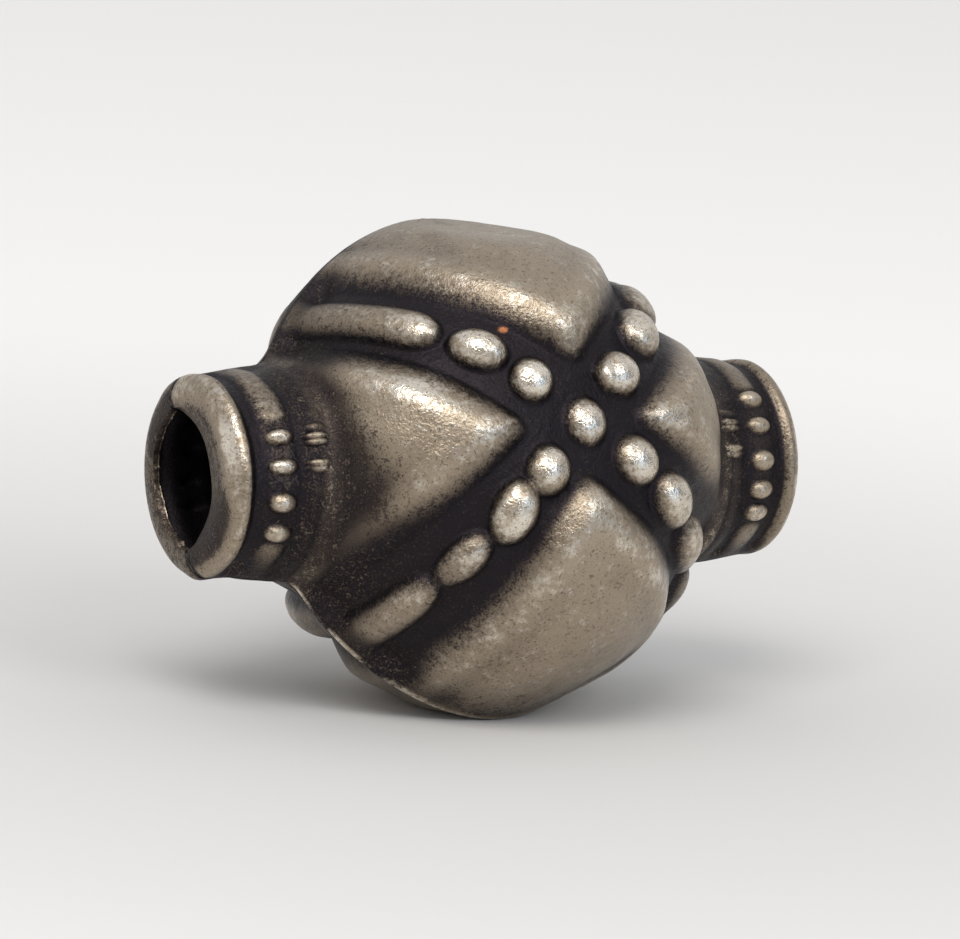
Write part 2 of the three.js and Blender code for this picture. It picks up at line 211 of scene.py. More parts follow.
def angle(name, text, degrees):
    return bpy.props.FloatProperty(
        name=name, description=text, default=math.radians(degrees), subtype="ANGLE",
    )


class OjimeSizes(bpy.types.PropertyGroup):
    """Sizes of the bead"""

    body_height: length("Body height", "Across the body in the plane of the seam", 12.34)
    body_length: length("Body length", "Along the bore, without the necks", 12.5)
    body_depth: length("Body depth", "From one dome to the other", 10.8)
    neck_height: length("Neck height", "Across a neck in the plane of the seam", 4.8)
    neck_depth: length("Neck depth", "Across a neck, square to the seam", 4.5)
    neck_flare: length("Neck flare", "How much a neck widens towards the body", 0.18)
    sheet: length("Sheet", "Thickness of the pressed metal", 0.3)
    solder_film: length("Solder film", "Between the two rims", 0.06)
    grain: length("Grain", "Across a plain grain of the cross", 1.0)
    arm_depth: length("Arm depth", "How far the cross is sunk at its centre", 0.62)
    arm_depth_at_rim: length("Arm depth at the rim", "How far it is sunk at the rim", 0.36)
    lie_angle: angle("Lie", "Turn of the seam plane about the bore as the bead lies", 23.0)
    foot: length("Foot", "Depth that is worn off flat where the bead lies", 0.2)
    rim_bend: length("Rim bend", "How far the rims bend in towards the far mouth", 0.3)


class OjimeFinish(bpy.types.PropertyGroup):
    """Colours of the bead"""

    worn: colour("Worn silver", "Handled metal on the lobes", (0.345, 0.283, 0.212))
    # Also the colour of the painted highlights on the front half's lips and left lobe
    bright: colour("Bright silver", "Polished tops and edges", (0.74, 0.68, 0.59))
    dark: colour("Dark patina", "Blackened recesses", (0.02, 0.017, 0.02))
    brown: colour("Brown patina", "Thin tarnish round the recesses", (0.07, 0.053, 0.042))
    rust: colour("Rust", "The small rusty spot", (0.32, 0.13, 0.06))
    solder: colour("Solder", "Dull solder in the seam", (0.09, 0.08, 0.07))


class OjimeStage(bpy.types.PropertyGroup):
    """Camera and light"""

    camera_azimuth: angle("Camera azimuth", "0 looks along +Y", -33.7135)
    camera_elevation: angle("Camera elevation", "Above the floor", 10.0472)
    camera_roll: angle("Camera roll", "Turn about the line of sight", 4.5839)
    camera_distance: length("Camera distance", "From the bead's middle", 167.464)
    focal_length: bpy.props.FloatProperty(
        name="Focal length", description="Of the lens, on a 36 mm sensor", default=262.5,
        unit="CAMERA",
    )
    floor: colour("Floor", "Pale plain floor", (0.8, 0.79, 0.775))
    # Painted shade: the floor as the camera sees it close to the bead
    floor_near: colour("Floor near", "The floor close to the bead", (0.6, 0.59, 0.58))
    key_power: strength("Key power", "Watts of the main lamp", 0.82, 100.0)
    world_strength: strength("World strength", "Brightness of the surroundings", 0.82, 10.0)


def smooth_step(value, start, end):
    """0 before the start, 1 after the end and a smooth rise between"""
    t = np.clip((value - start) / (end - start), 0, 1)
    return t * t * (3 - 2 * t)


def hill(value, middle, reach):
    """1 at the middle, falling off on both sides to about a third at the reach"""
    return np.exp(-(((value - middle) / reach) ** 2))


def soft_max(a, b, reach):
    """The greater of two heights, blended where they differ by less than the reach"""
    blend = np.maximum(reach - np.abs(a - b), 0) / reach
    return np.maximum(a, b) + blend * blend * reach / 4


def soft_min(a, b, reach):
    return -soft_max(-a, -b, reach)


def lerp(a, b, t):
    return a + (b - a) * t


class HalfShell:
    """The form of one half shell, worked out on a grid of stations and angles."""

    # Plain body: the powers that round its outline, its shoulder and its section, and where
    # the rims bend in: the middle and reach as shares of half the length, and to what angle
    OUTLINE, SHOULDER, EDGE = 1.88, 2.74, 1.36
    HALVINGS = 34
    RIM_BEND_PLACE_SHARES, RIM_BEND_ANGLE = (0.3, 0.28), 30
    FOOT_EDGE, FOOT_SAMPLES, LEAST_FACING = 0.1 * MM, 60, 0.1

    # Necks, lips and mouths. A mouth's curve is two powers that give its pointed oval
    NECK_FILLET = 0.5 * MM
    FLARE_REACH = 1.9 * MM
    LIP = 0.6 * MM
    LIP_LENGTH = 0.32 * MM
    LIP_FLAT = 0.12 * MM
    TURN_IN = 0.15 * MM
    MOUTH_CORNER = 1.63 * MM
    MOUTH_DEPTH = {"front": 0.8 * MM, "back": 1.46 * MM}
    MOUTH_CURVE = {"front": (2.3, 0.9), "back": (2.8, 0.8)}

    # Lobes: where a lobe's tip and base are, and how far in from the arms its edges roll over
    # there, then the rolls, troughs and swells on it, each with its middle and reach
    LOBE_TIP_AND_BASE, LOBE_SHOULDERS = mm(1.2, 4.2), mm(0.8, 1.3)
    LOBE_CORNER = 0.5 * MM
    ROLL, ROLL_PLACE = 0.05 * MM, mm(0.8, 0.32)
    TROUGH, TROUGH_PLACE = 0.035 * MM, mm(1.45, 0.36)
    SWELL, SWELL_X, SWELL_Z = 0.12 * MM, mm(4.3, 0.8), mm(0.9, 1.3)

    # Grains, bars and ridges: the power that rounds them, and the fillet at their foot
    ROUNDNESS = 0.6
    GRAIN_FOOT = 0.1 * MM

    # Neck: the groove behind the lip, the collar, the ribs and the rise towards the body
    GROOVE, GROOVE_EDGE = 0.16 * MM, mm(0.05, 0.28)
    NECK_FOOT, GROOVE_LOSS_AT_FOOT = mm(1.7, 2.5), 0.6
    COLLAR_AT, COLLAR_WIDTH, COLLAR_HALF_ANGLE = 1.24 * MM, 0.74 * MM, 6.5
    COLLAR_GRAIN_RISE, COLLAR_BAR_RISE, COLLAR_BAR_NARROWING = 0.26, 0.11, 0.95
    RIBS_AT, RIB_HALF_LENGTH, RIB_HALF_ANGLE = 2.16 * MM, 0.36 * MM, 2.6
    RINGS_FADE_ANGLES = (84, 112)
    SEAM_FADE = 0.55 * MM

    # Bare metal: heights over the recesses that the finish is told, whatever the form is
    BARE_RISE, BARE_EDGE = 0.42 * MM, 0.1 * MM
    BARE_PAST_FAR_AND_NEAR_LIP = mm(0.18, 0.02)
    BARE_PER_RISE, BARE_AT_FOOT, BARE_ON_FAR_NECK = 2.6, 0.45 * MM, 0.1 * MM
    CRACK, CRACK_EDGE = 0.5 * MM, mm(0.03, 0.09)

    # Burr along the lower seam: its height, its width and where it ends
    BURR, BURR_WIDTH, BURR_END = 0.05 * MM, 0.14 * MM, mm(5.2, 6.0)

    # Tarnish: how dark it is at most in a place, and the edges over which it grows or fades.
    # At the foot of a neck it reaches over the body by the first number above and by the
    # second below, in millimetres
    FOOT_SOOT_REACH, FOOT_SOOT_FULL = (1.0, 2.3), 0.35 * MM
    FOOT_SOOT_LOWER, FOOT_SOOT_END = mm(-1.0, 2.5), mm(1.6, 1.9)
    SEAM_SOOT_WIDTH, SEAM_SOOT_THIN, SEAM_SOOT_LOSS = mm(0.1, 1.7), 0.45, 0.5
    SEAM_SOOT_ALONG, SEAM_SOOT_UPPER = mm(1.5, 4.0), mm(0.5, 2.5)
    LIP_SOOT = {"front": 0.45, "back": 0.62}
    MOUTH_SOOT_DEPTH, MOUTH_SOOT_LOWER = mm(0.42, 0.8), mm(0.3, 1.2)
    MOUTH_SOOT_ABOVE = 0.66
    DARKER, DARKER_LOWER = 0.4 * MM, mm(0.3, 1.5)
    DULL_FROM = {"left_down": 3.6 * MM, "left_up": 4.4 * MM}
    DULL_SOOT, DULL_WIDTH, DULL_RISE = 0.32, mm(0.6, 0.9), 0.8 * MM
    # Painted shade: dulls the two lower grains of the near collar
    COLLAR_SOOT, COLLAR_SOOT_WIDTH = 0.45, mm(0.4, 0.6)
    COLLAR_SOOT_ANGLES = ((106, 114), (142, 150))
    FAR_NECK_SOOT, FAR_NECK_EDGE = 0.42, mm(5.6, 6.2)

    # Metal worn bright on the ribs, and painted highlights on the near lip and the left lobe: its
    # strength in a place, and the middle and reach of the place
    RUBBED_OFF, RUBBED_RIB, HIGHEST_RIB = 0.75, 0.34 * MM, 0.14
    RUBBED_NEAR_AND_FAR_RIBS = (0.34, 0.2)
    RUBBED_LIP_PLACE = (mm(0.32, 0.2), mm(0.35, 0.55))
    RUBBED_LOBE, RUBBED_LOBE_PLACE = 0.6, (mm(-3.8, 0.8), mm(1.1, 0.6))

    # Polish, as the height that it adds to what stands proud; the front half's lips get a painted
    # highlight the same way
    LIP_CREST, LIP_CREST_DEPTH = 0.12 * MM, mm(0.3, 0.75)
    BURR_CREST, RUBBED_CREST = 2, 0.25 * MM
    TORN_CREST, TORN_CREST_ANGLES = 0.2 * MM, (0.5, 1.3)

    # Rusty spot: its place, its size and how much longer than high it is
    RUST_PLACE, RUST_REACH, RUST_STRETCH = mm(-1.76, 2.56), 0.11 * MM, 1.6

    # Where the front half reaches past the seam plane
    OVERLAP_START, OVERLAP_REACH = mm(7.15, 7.85), 1.1 * MM

    def __init__(self, side, body_steps, neck_steps, lip_steps, columns):
        s = self.sizes = bpy.context.scene.ojime_sizes
        self.side = side
        self.radius = s.body_height / 2
        self.half_length = s.body_length / 2
        self.dome = s.body_depth / 2
        self.end = (CAD_HIGH.x - CAD_LOW.x) / 2
        neck_share = 1 - (s.neck_height / s.body_height) ** self.OUTLINE
        self.neck_start = self.half_length * neck_share ** (1 / self.OUTLINE)
        self.angles = np.linspace(0, math.pi, columns + 1)
        self.rows = self.stations(body_steps, neck_steps, lip_steps)
        self.x, self.out, self.z = np.moveaxis(self.rows, -1, 0)
        self.degrees = np.degrees(np.broadcast_to(self.angles, self.x.shape))
        self.from_mouth = self.end - np.abs(self.x)
        self.on_lip = np.abs(self.x) > self.end - self.LIP_LENGTH

    def body_reach(self, x, angles):
        """Distance from the bore's axis to the plain body, found by halving"""
        along = np.abs(x / self.half_length) ** self.OUTLINE
        up = np.abs(np.cos(angles)) / self.radius
        out = np.maximum(np.sin(angles), 0) / self.dome
        near = np.zeros_like(angles)
        far = np.full_like(angles, self.radius + self.dome)
        for _ in range(self.HALVINGS):
            middle = (near + far) / 2
            outline = (along + (middle * up) ** self.OUTLINE) ** (self.SHOULDER / self.OUTLINE)
            inside = outline + (middle * out) ** self.EDGE < 1
            near = np.where(inside, middle, near)
            far = np.where(inside, far, middle)
        bend = self.sizes.rim_bend * self.rim_bend_share(x, angles)
        return ((near + far) / 2 - bend) * (along < 1)

    def rim_bend_share(self, x, angles):
        along = hill(x / self.half_length, *self.RIM_BEND_PLACE_SHARES)
        from_rim = np.degrees(np.minimum(angles, math.pi - angles))
        return (1 - smooth_step(from_rim, 0, self.RIM_BEND_ANGLE)) * along

    def worn_reach(self, x, angles):
        """The body with the flat place on which it lies, and the like place of the other half"""
        facing = np.cos(angles - self.sizes.lie_angle)
        middle = np.linspace(0, math.pi / 2, self.FOOT_SAMPLES)
        extent = (self.body_reach(0, middle) * np.cos(middle - self.sizes.lie_angle)).max()
        foot = (extent - self.sizes.foot) / np.maximum(facing, self.LEAST_FACING)
        return soft_min(self.body_reach(x, angles), foot, self.FOOT_EDGE)

    def neck_reach(self, angles, x=None):
        """Distance from the bore's axis to the plain neck, which widens towards the body"""
        s = self.sizes
        up = np.cos(angles) / (s.neck_height / 2)
        out = np.sin(angles) / (s.neck_depth / 2)
        plain = 1 / np.hypot(up, out)
        if x is None:
            return plain
        inwards = self.end - self.LIP_LENGTH - abs(x)
        return plain + s.neck_flare * smooth_step(inwards, 0, self.FLARE_REACH)

    def mouth_edge(self, angles):
        """The mouth is a pointed oval, fuller at the back, where its edge is torn"""
        fullness, bluntness = self.MOUTH_CURVE[self.side]
        z = self.MOUTH_CORNER * np.cos(angles)
        oval = np.maximum(1 - np.abs(np.cos(angles)) ** fullness, 0) ** bluntness
        out = self.MOUTH_DEPTH[self.side] * oval
        if self.side == "back":
            out = out + self.torn(angles) * np.sin(angles) ** 0.5
        return out, z

    @staticmethod
    def torn(angles):
        """Uneven edge: slow waves with small sharp nicks on them"""
        edge = sum(height * np.sin(waves * angles + start) for height, waves, start in TORN_WAVES)
        for at, half, depth in NICKS:
            off = np.abs(np.degrees(angles) - at) / half
            edge += depth * np.maximum(1 - off, 0)
        return edge * MM

    def ring(self, x, reach):
        a = self.angles
        return np.stack([np.full_like(a, x), reach * np.sin(a), reach * np.cos(a)], axis=-1)

    def barrel(self, x):
        """A row round the body or the neck, with a fillet where they meet"""
        body = self.worn_reach(x, self.angles)
        return self.ring(x, soft_max(body, self.neck_reach(self.angles, x), self.NECK_FILLET))

    def mouth_rows(self, sign, neck_steps, lip_steps):
        """Rows from the edge of one mouth, over its lip and along its neck"""
        reach = self.neck_reach(self.angles)
        out, z = self.mouth_edge(self.angles)
        inner = np.stack([np.zeros_like(z), out, z], axis=-1)
        flat = self.ring(sign * self.end, reach - self.LIP - self.LIP_FLAT)
        rows = []
        for i in range(lip_steps):
            t = i / lip_steps
            row = lerp(inner, flat, t)
            row[:, 0] = sign * (self.end - self.TURN_IN * (1 - np.sin(t * math.pi / 2)))
            rows.append(row)
        for i in range(lip_steps + 1):
            turn = i / lip_steps * math.pi / 2
            x = self.end - self.LIP_LENGTH * (1 - math.cos(turn))
            rows.append(self.ring(sign * x, reach - self.LIP * (1 - math.sin(turn))))
        neck = self.end - self.LIP_LENGTH - self.neck_start
        for i in range(1, neck_steps):
            x = sign * (self.end - self.LIP_LENGTH - neck * i / neck_steps)
            rows.append(self.barrel(x))
        return rows

    def stations(self, body_steps, neck_steps, lip_steps):
        """Points of the plain surface, row by row from one mouth to the other: (x, out, z)"""
        sweep = math.asin(self.neck_start / self.half_length)
        body = [
            self.barrel(self.half_length * math.sin(sweep * (2 * i / body_steps - 1)))
            for i in range(body_steps + 1)
        ]
        near = self.mouth_rows(-1, neck_steps, lip_steps)
        far = self.mouth_rows(1, neck_steps, lip_steps)
        return np.array(near + body + far[::-1])

    def arm_places(self):
        """Each arm's name, with how far points lie along it and across it"""
        for name, degrees in ARM_ANGLES.items():
            turn = math.radians(degrees)
            along = self.x * math.cos(turn) + self.z * math.sin(turn)
            yield name, along, -self.x * math.sin(turn) + self.z * math.cos(turn)

    def depth_in_lobe(self, places):
        """How far points lie inside a lobe, from the edges of the arms on its two sides"""
        radius = self.radius
        start, stop = (share * radius for share in ARM_SPREAD_SHARES)

        def width(shares, along):
            return radius * lerp(*shares, smooth_step(along, start, stop))

        depth = np.full_like(self.x, -radius)
        for i, (name, along, across) in enumerate(places):
            following, next_along, next_across = places[(i + 1) % len(places)]
            from_arm = across - width(ARM_WIDTH_SHARES[name][0], along)
            from_next = -next_across - width(ARM_WIDTH_SHARES[following][1], next_along)
            depth = np.maximum(depth, soft_min(from_arm, from_next, self.LOBE_CORNER))
        return depth

    def dome_relief(self):
        """0 on the lobes and negative along the sunk arms, and the height over the arms"""
        s = self.sizes
        places = list(self.arm_places())
        from_centre = np.hypot(self.x, self.z)
        lobe = self.depth_in_lobe(places)
        out = smooth_step(from_centre, *self.LOBE_TIP_AND_BASE)
        reach = lerp(*self.LOBE_SHOULDERS, out)
        shoulder = np.sin(np.clip(lobe / reach, 0, 1) * math.pi / 2)
        at_rim = np.minimum(from_centre / self.radius, 1)
        floor = -lerp(s.arm_depth, s.arm_depth_at_rim, at_rim)
        roll = self.ROLL * hill(lobe, *self.ROLL_PLACE)
        trough = self.TROUGH * hill(lobe, *self.TROUGH_PLACE)
        swell = self.SWELL * hill(np.abs(self.x), *self.SWELL_X) * hill(self.z, *self.SWELL_Z)
        height = floor * (1 - shoulder) + (roll - trough) * out + swell * shoulder
        height = self.with_grains(height, floor, places)
        return height, height - floor

    def with_grains(self, height, floor, places):
        """Raises the centre grain, and each arm's grains and bar, from the sunk floor"""
        radius, half_grain = self.radius, self.sizes.grain / 2

        def raised(distance, top):
            inside = 1 - distance**2
            hump = np.where(inside > 0, np.maximum(inside, 0) ** self.ROUNDNESS, inside)
            return soft_max(height, floor + (top - floor) * hump, self.GRAIN_FOOT)

        def top_at(along):
            return np.interp(along / radius, GRAIN_PLACE_SHARES, GRAIN_TOPS) * MM

        off, long, wide = CENTRE_GRAIN_SHARES
        from_centre = np.hypot((self.x - off * radius) / long, self.z / wide)
        height = raised(from_centre / half_grain, top_at(0))
        for name, along, across in places:
            for at, aside, long, wide, turned, lower in ARM_GRAIN_SHARES[name]:
                c, s = math.cos(math.radians(turned)), math.sin(math.radians(turned))
                u, v = along - at * radius, across - aside * radius
                u, v = u * c + v * s, v * c - u * s
                top = top_at(at * radius) - lower * MM
                height = raised(np.hypot(u / long, v / wide) / half_grain, top)
            head, tail, aside, head_width, tail_width, head_lower, tail_lower = ARM_BAR_SHARES[name]
            t = np.clip((along / radius - head) / (tail - head), 0, 1)
            half = radius * lerp(head_width, tail_width, t) / 2
            before = np.minimum(along - head * radius - half, 0)
            top = top_at(along) - lerp(head_lower, tail_lower, t) * MM
            height = raised(np.hypot(before, across - aside * radius) / half, top)
        return height

    @classmethod
    def ridged(cls, raised, off, rise, here=True):
        """Adds a ridge that is so many millimetres high and ends where off is 1"""
        hump = rise * MM * np.maximum(1 - off**2, 0) ** cls.ROUNDNESS
        return np.where(here, np.maximum(raised, hump), raised)

    def off_rib(self, at, half_length):
        """0 in the middle of a fine rib and 1 at its ends and sides"""
        along = (self.from_mouth - self.RIBS_AT) / half_length
        return np.hypot((self.degrees - at) / self.RIB_HALF_ANGLE, along)

    def neck_relief(self):
        """Grooves round the neck, a collar of grains and bars, and fine ribs behind it"""
        degrees, place = self.degrees, self.from_mouth
        at_foot = smooth_step(place, *self.NECK_FOOT)
        sunk = smooth_step(place - self.LIP_LENGTH, *self.GROOVE_EDGE)
        sunk = sunk * (1 - self.GROOVE_LOSS_AT_FOOT * at_foot)
        raised = np.zeros_like(place)
        along = (place - self.COLLAR_AT) / (self.COLLAR_WIDTH / 2)
        for end in (-1, 1):
            here = np.sign(self.x) == end
            for at, half in COLLAR_GRAINS[end]:
                off = np.hypot((degrees - at) / half, along)
                raised = self.ridged(raised, off, self.COLLAR_GRAIN_RISE, here)
            for start, stop in COLLAR_BARS[end]:
                past = np.maximum(np.maximum(start - degrees, degrees - stop), 0)
                off = np.hypot(past / self.COLLAR_HALF_ANGLE, along * self.COLLAR_BAR_NARROWING)
                raised = self.ridged(raised, off, self.COLLAR_BAR_RISE, here)
        for at, rise in RIBS:
            raised = self.ridged(raised, self.off_rib(at, self.RIB_HALF_LENGTH), rise)
        lower = smooth_step(degrees, *self.RINGS_FADE_ANGLES)
        for at, half, rise, lower_rise in RINGS:
            raised = self.ridged(raised, (place / MM - at) / half, rise + lower_rise * lower)
        above = raised * self.BARE_PER_RISE + self.BARE_AT_FOOT * at_foot
        return raised - self.GROOVE * sunk, above

    def relief(self):
        """Height over the plain surface, and height over the floor of the recesses"""
        far = self.x > 0
        on_neck = smooth_step(np.abs(self.x), self.neck_start - self.NECK_FILLET, self.neck_start)
        dome, over_floor = self.dome_relief()
        neck, over_groove = self.neck_relief()
        mixed = lerp(dome, neck, on_neck) + self.uneven()
        mixed = mixed * smooth_step(self.out, 0, self.SEAM_FADE)
        bare_until = self.LIP_LENGTH + np.where(far, *self.BARE_PAST_FAR_AND_NEAR_LIP)
        bare = 1 - smooth_step(self.from_mouth, bare_until, bare_until + self.BARE_EDGE)
        above = lerp(over_floor, over_groove + self.BARE_ON_FAR_NECK * far, on_neck)
        above = np.maximum(above, self.BARE_RISE * bare)
        crack = self.CRACK * (1 - smooth_step(self.out, *self.CRACK_EDGE)) * (self.burr() == 0)
        return np.where(self.on_lip, 0, mixed), above - crack

    def burr(self):
        """The front half's rim stands a little proud of the back one along the lower seam"""
        near = np.maximum(1 - self.out / self.BURR_WIDTH, 0) * (self.z < 0)
        burr = self.BURR * near * (1 - smooth_step(np.abs(self.x), *self.BURR_END))
        return burr * (self.side == "front")

    def uneven(self):
        """Slight dents of the old sheet, the wide ones in other places on the back half"""
        (wide_rise, wide), (small_rise, small) = WIDE_DENTS, SMALL_DENTS
        shift = Vector((0.0 if self.side == "front" else 40.0, 0, 0))
        values = [
            wide_rise * noise.noise(Vector(p) * wide + shift)
            + small_rise * noise.noise(Vector(p) * small)
            for p in self.rows.reshape(-1, 3)
        ]
        return np.array(values).reshape(self.x.shape) * MM

    def soot(self):
        """Where tarnish gathers: at the foot of each neck, by the seam, inside the lips, at the
        ends of two arms and over the far neck, with painted shade on the two lower grains of the
        near collar"""
        by_lip = 1 - smooth_step(self.from_mouth / self.LIP_LENGTH, 1, 1.5)
        soot = np.maximum.reduce([
            self.soot_at_neck_foot(),
            self.soot_by_seam() * (1 - self.SEAM_SOOT_LOSS * by_lip),
            np.maximum(self.soot_in_mouth(), self.LIP_SOOT[self.side] * by_lip),
            self.soot_on_arms(),
            self.soot_on_collar(),
            self.FAR_NECK_SOOT * smooth_step(self.x, *self.FAR_NECK_EDGE),
        ])
        # Less tarnish where the ribs are worn bright and where highlights are painted
        return soot * (1 - self.RUBBED_OFF * self.rubbed())

    def soot_at_neck_foot(self):
        """Reaches further over the body on the lower side, and ends before the collar"""
        lower = smooth_step(-self.z, *self.FOOT_SOOT_LOWER)
        start = self.neck_start - lerp(*self.FOOT_SOOT_REACH, lower) * MM
        full = self.neck_start - self.FOOT_SOOT_FULL
        foot = smooth_step(np.abs(self.x), start, full)
        return foot * smooth_step(self.from_mouth, *self.FOOT_SOOT_END)

    def soot_by_seam(self):
        """Thins out towards the middle of the body and on its upper side"""
        thin = self.SEAM_SOOT_THIN
        seam = 1 - smooth_step(self.out, *self.SEAM_SOOT_WIDTH)
        seam = seam * lerp(thin, 1, smooth_step(np.abs(self.x), *self.SEAM_SOOT_ALONG))
        return seam * lerp(1, thin, smooth_step(self.z, *self.SEAM_SOOT_UPPER))

    def soot_in_mouth(self):
        """Past the edge that turns in, and darkest down the lower part of the lip"""
        inside = smooth_step(self.tarnish_depth(), *self.MOUTH_SOOT_DEPTH)
        inside = inside * (np.abs(self.x) > self.end - self.TURN_IN * 1.01)
        lower = smooth_step(-self.z, *self.MOUTH_SOOT_LOWER)
        return inside * lerp(self.MOUTH_SOOT_ABOVE, 1.0, lower)

    def soot_on_arms(self):
        dull = np.zeros_like(self.x)
        for name, along, across in self.arm_places():
            if name in self.DULL_FROM:
                start = self.DULL_FROM[name]
                within = 1 - smooth_step(np.abs(across), *self.DULL_WIDTH)
                rise = smooth_step(along, start, start + self.DULL_RISE)
                dull = np.maximum(dull, rise * within)
        return self.DULL_SOOT * dull

    def soot_on_collar(self):
        """Painted shade that dulls the two lower grains of the near collar"""
        from_collar = np.abs(self.from_mouth - self.COLLAR_AT)
        at_collar = 1 - smooth_step(from_collar, *self.COLLAR_SOOT_WIDTH)
        start, stop = self.COLLAR_SOOT_ANGLES
        lower_grains = smooth_step(self.degrees, *start) * (1 - smooth_step(self.degrees, *stop))
        return self.COLLAR_SOOT * at_collar * lower_grains * (self.x < 0)

    def depth_in_mouth(self):
        """How far points lie within the outline of the neck, seen along the bore"""
        return self.neck_reach(self.angles) - np.hypot(self.out, self.z)

    def tarnish_depth(self):
        """The same, with more added down the lower part of the lip, which is darker"""
        return self.depth_in_mouth() + self.DARKER * smooth_step(-self.z, *self.DARKER_LOWER)

    def rubbed(self):
        """Where handling keeps the metal bright on the ribs, with painted highlights on the near
        lip and the left lobe
        """
        rubbed = np.zeros_like(self.x)
        for at, rise in RIBS:
            top = np.maximum(1 - self.off_rib(at, self.RUBBED_RIB) ** 2, 0)
            rubbed = np.maximum(rubbed, rise / self.HIGHEST_RIB * top)
        rubbed *= np.where(self.x < 0, *self.RUBBED_NEAR_AND_FAR_RIBS)
        if self.side == "front":
            # Painted highlights: a streak down the near lip and a patch on the left lobe
            depth, height = self.RUBBED_LIP_PLACE
            streak = hill(self.depth_in_mouth(), *depth) * hill(self.z, *height)
            x, z = self.RUBBED_LOBE_PLACE
            lobe = self.RUBBED_LOBE * hill(self.x, *x) * hill(self.z, *z)
            near_lip = self.on_lip & (self.x < 0)
            rubbed = np.maximum.reduce([rubbed, streak * near_lip, lobe])
        return rubbed

    def rust(self):
        """One small rusty spot between a lobe and the second grain of the left upper arm"""
        x, z = self.RUST_PLACE
        off = np.hypot((self.x - x) / self.RUST_STRETCH, self.z - z) / self.RUST_REACH
        return np.maximum(1 - off, 0) * (self.side == "front")

    def crest(self, raised):
        """How much points stand over what is round them, with the places that handling rubs and the
        painted highlights of the front half
        """
        crest = raised - box_blur(raised, CREST_CELLS)
        if self.side == "front":
            # Painted highlight along the outer part of the front half's lips
            edge = 1 - smooth_step(self.tarnish_depth(), *self.LIP_CREST_DEPTH)
            crest += self.LIP_CREST * edge * self.on_lip
        crest += self.BURR_CREST * self.burr() + self.RUBBED_CREST * self.rubbed()
        if self.side == "back":
            torn = smooth_step(self.angles, *self.TORN_CREST_ANGLES)
            crest[(0, -1), :] = self.TORN_CREST * torn
        return crest

    def surfaces(self):
        """Outer and inner sheet as grids of points, and the relief of the outer one"""
        points = self.rows
        normal = np.cross(np.gradient(points, axis=0), np.gradient(points, axis=1))
        normal[:, (0, -1), 1] = 0
        normal /= np.linalg.norm(normal, axis=-1, keepdims=True)
        raised, above = self.relief()
        raised += self.burr()
        outer = points + normal * raised[..., None]
        inner = outer - normal * self.sizes.sheet
        for grid in (outer, inner):
            grid[:, (0, -1), 1] = 0
        return outer, inner, raised, above

    @classmethod
    def overlap(cls, x, out, z):
        """How far the front half reaches past the seam plane near the open mouth"""
        at_mouth = smooth_step(-x, *cls.OVERLAP_START)
        near = at_mouth * (1 - smooth_step(out, 0, cls.OVERLAP_REACH))
        return near * np.interp(z / MM, OVERLAP_PLACES, OVERLAPS) * MM

    def placed(self, points):
        """From the shell's own axes to the bead's, as it lies"""
        x, out, z = points[..., 0], points[..., 1], points[..., 2]
        out = out + self.sizes.solder_film / 2
        if self.side == "back":
            y, z = out, -z
        else:
            y = -out
        y = y + self.overlap(x, out, z)
        turn = -self.sizes.lie_angle
        c, s = math.cos(turn), math.sin(turn)
        return np.stack([x, y * c - z * s, y * s + z * c], axis=-1)


def deselect():
    if bpy.context.object and bpy.context.object.mode != "OBJECT":
        bpy.ops.object.mode_set(mode="OBJECT")
    bpy.ops.object.select_all(action="DESELECT")


def shaped_grid(name, points):
    """A grid primitive whose vertices are put at the given points, row by row"""
    deselect()
    rows, columns = points.shape[:2]
    bpy.ops.mesh.primitive_grid_add(x_subdivisions=columns - 1, y_subdivisions=rows - 1, size=1)
    grid = bpy.context.object
    grid.name = name
    grid.data.vertices.foreach_set("co", points.reshape(-1).astype(np.float32))
    grid.data.update()
    return grid


def box_blur(values, reach):
    """Mean over a square of cells, by running sums along both ways of the grid"""
    for axis in (0, 1):
        borders = [(0, 0), (0, 0)]
        borders[axis] = (reach + 1, reach)
        sums = np.cumsum(np.pad(values, borders, mode="edge"), axis=axis)
        high = np.take(sums, range(2 * reach + 1, sums.shape[axis]), axis=axis)
        low = np.take(sums, range(0, sums.shape[axis] - 2 * reach - 1), axis=axis)
        values = (high - low) / (2 * reach + 1)
    return values


def paint(grid, name, values):
    """Keeps a value at each vertex, for the finish"""
    attribute = grid.data.attributes.new(name, "FLOAT", "POINT")
    attribute.data.foreach_set("value", values.reshape(-1).astype(np.float32))


def model_shell(side):
    shell = HalfShell(side, *OUTER_STEPS)
    outer_points, _, raised, above = shell.surfaces()
    outer = shaped_grid(SHELL_NODES[side] + "_worn", shell.placed(outer_points))
    paint(outer, "above", above / MM)
    paint(outer, "rust", shell.rust())
    paint(outer, "crest", shell.crest(raised) / MM)
    paint(outer, "soot", shell.soot() * (shell.burr() < CLEAN_BURR))
    coarse = HalfShell(side, *INNER_STEPS)
    inner_points = coarse.surfaces()[1]
    inner = shaped_grid("inner", coarse.placed(inner_points))
    for name, value in (("above", -1.6), ("crest", -0.5), ("soot", 0.0)):
        paint(inner, name, np.full(inner_points.shape[:2], value))
    join_sheets(outer, inner)
    return outer


def join_sheets(outer, inner):
    """Makes one closed shell of the two sheets, bridged all round their edges"""
    deselect()
    inner.select_set(True)
    outer.select_set(True)
    bpy.context.view_layer.objects.active = outer
    bpy.ops.object.join()
    bpy.ops.object.mode_set(mode="EDIT")
    bpy.ops.mesh.select_mode(type="EDGE")
    bpy.ops.mesh.select_all(action="DESELECT")
    bpy.ops.mesh.select_non_manifold()
    bpy.ops.mesh.bridge_edge_loops()
    bpy.ops.mesh.select_all(action="SELECT")
    bpy.ops.mesh.normals_make_consistent(inside=False)
    bpy.ops.object.mode_set(mode="OBJECT")
    bpy.ops.object.shade_smooth_by_angle(angle=math.radians(60))


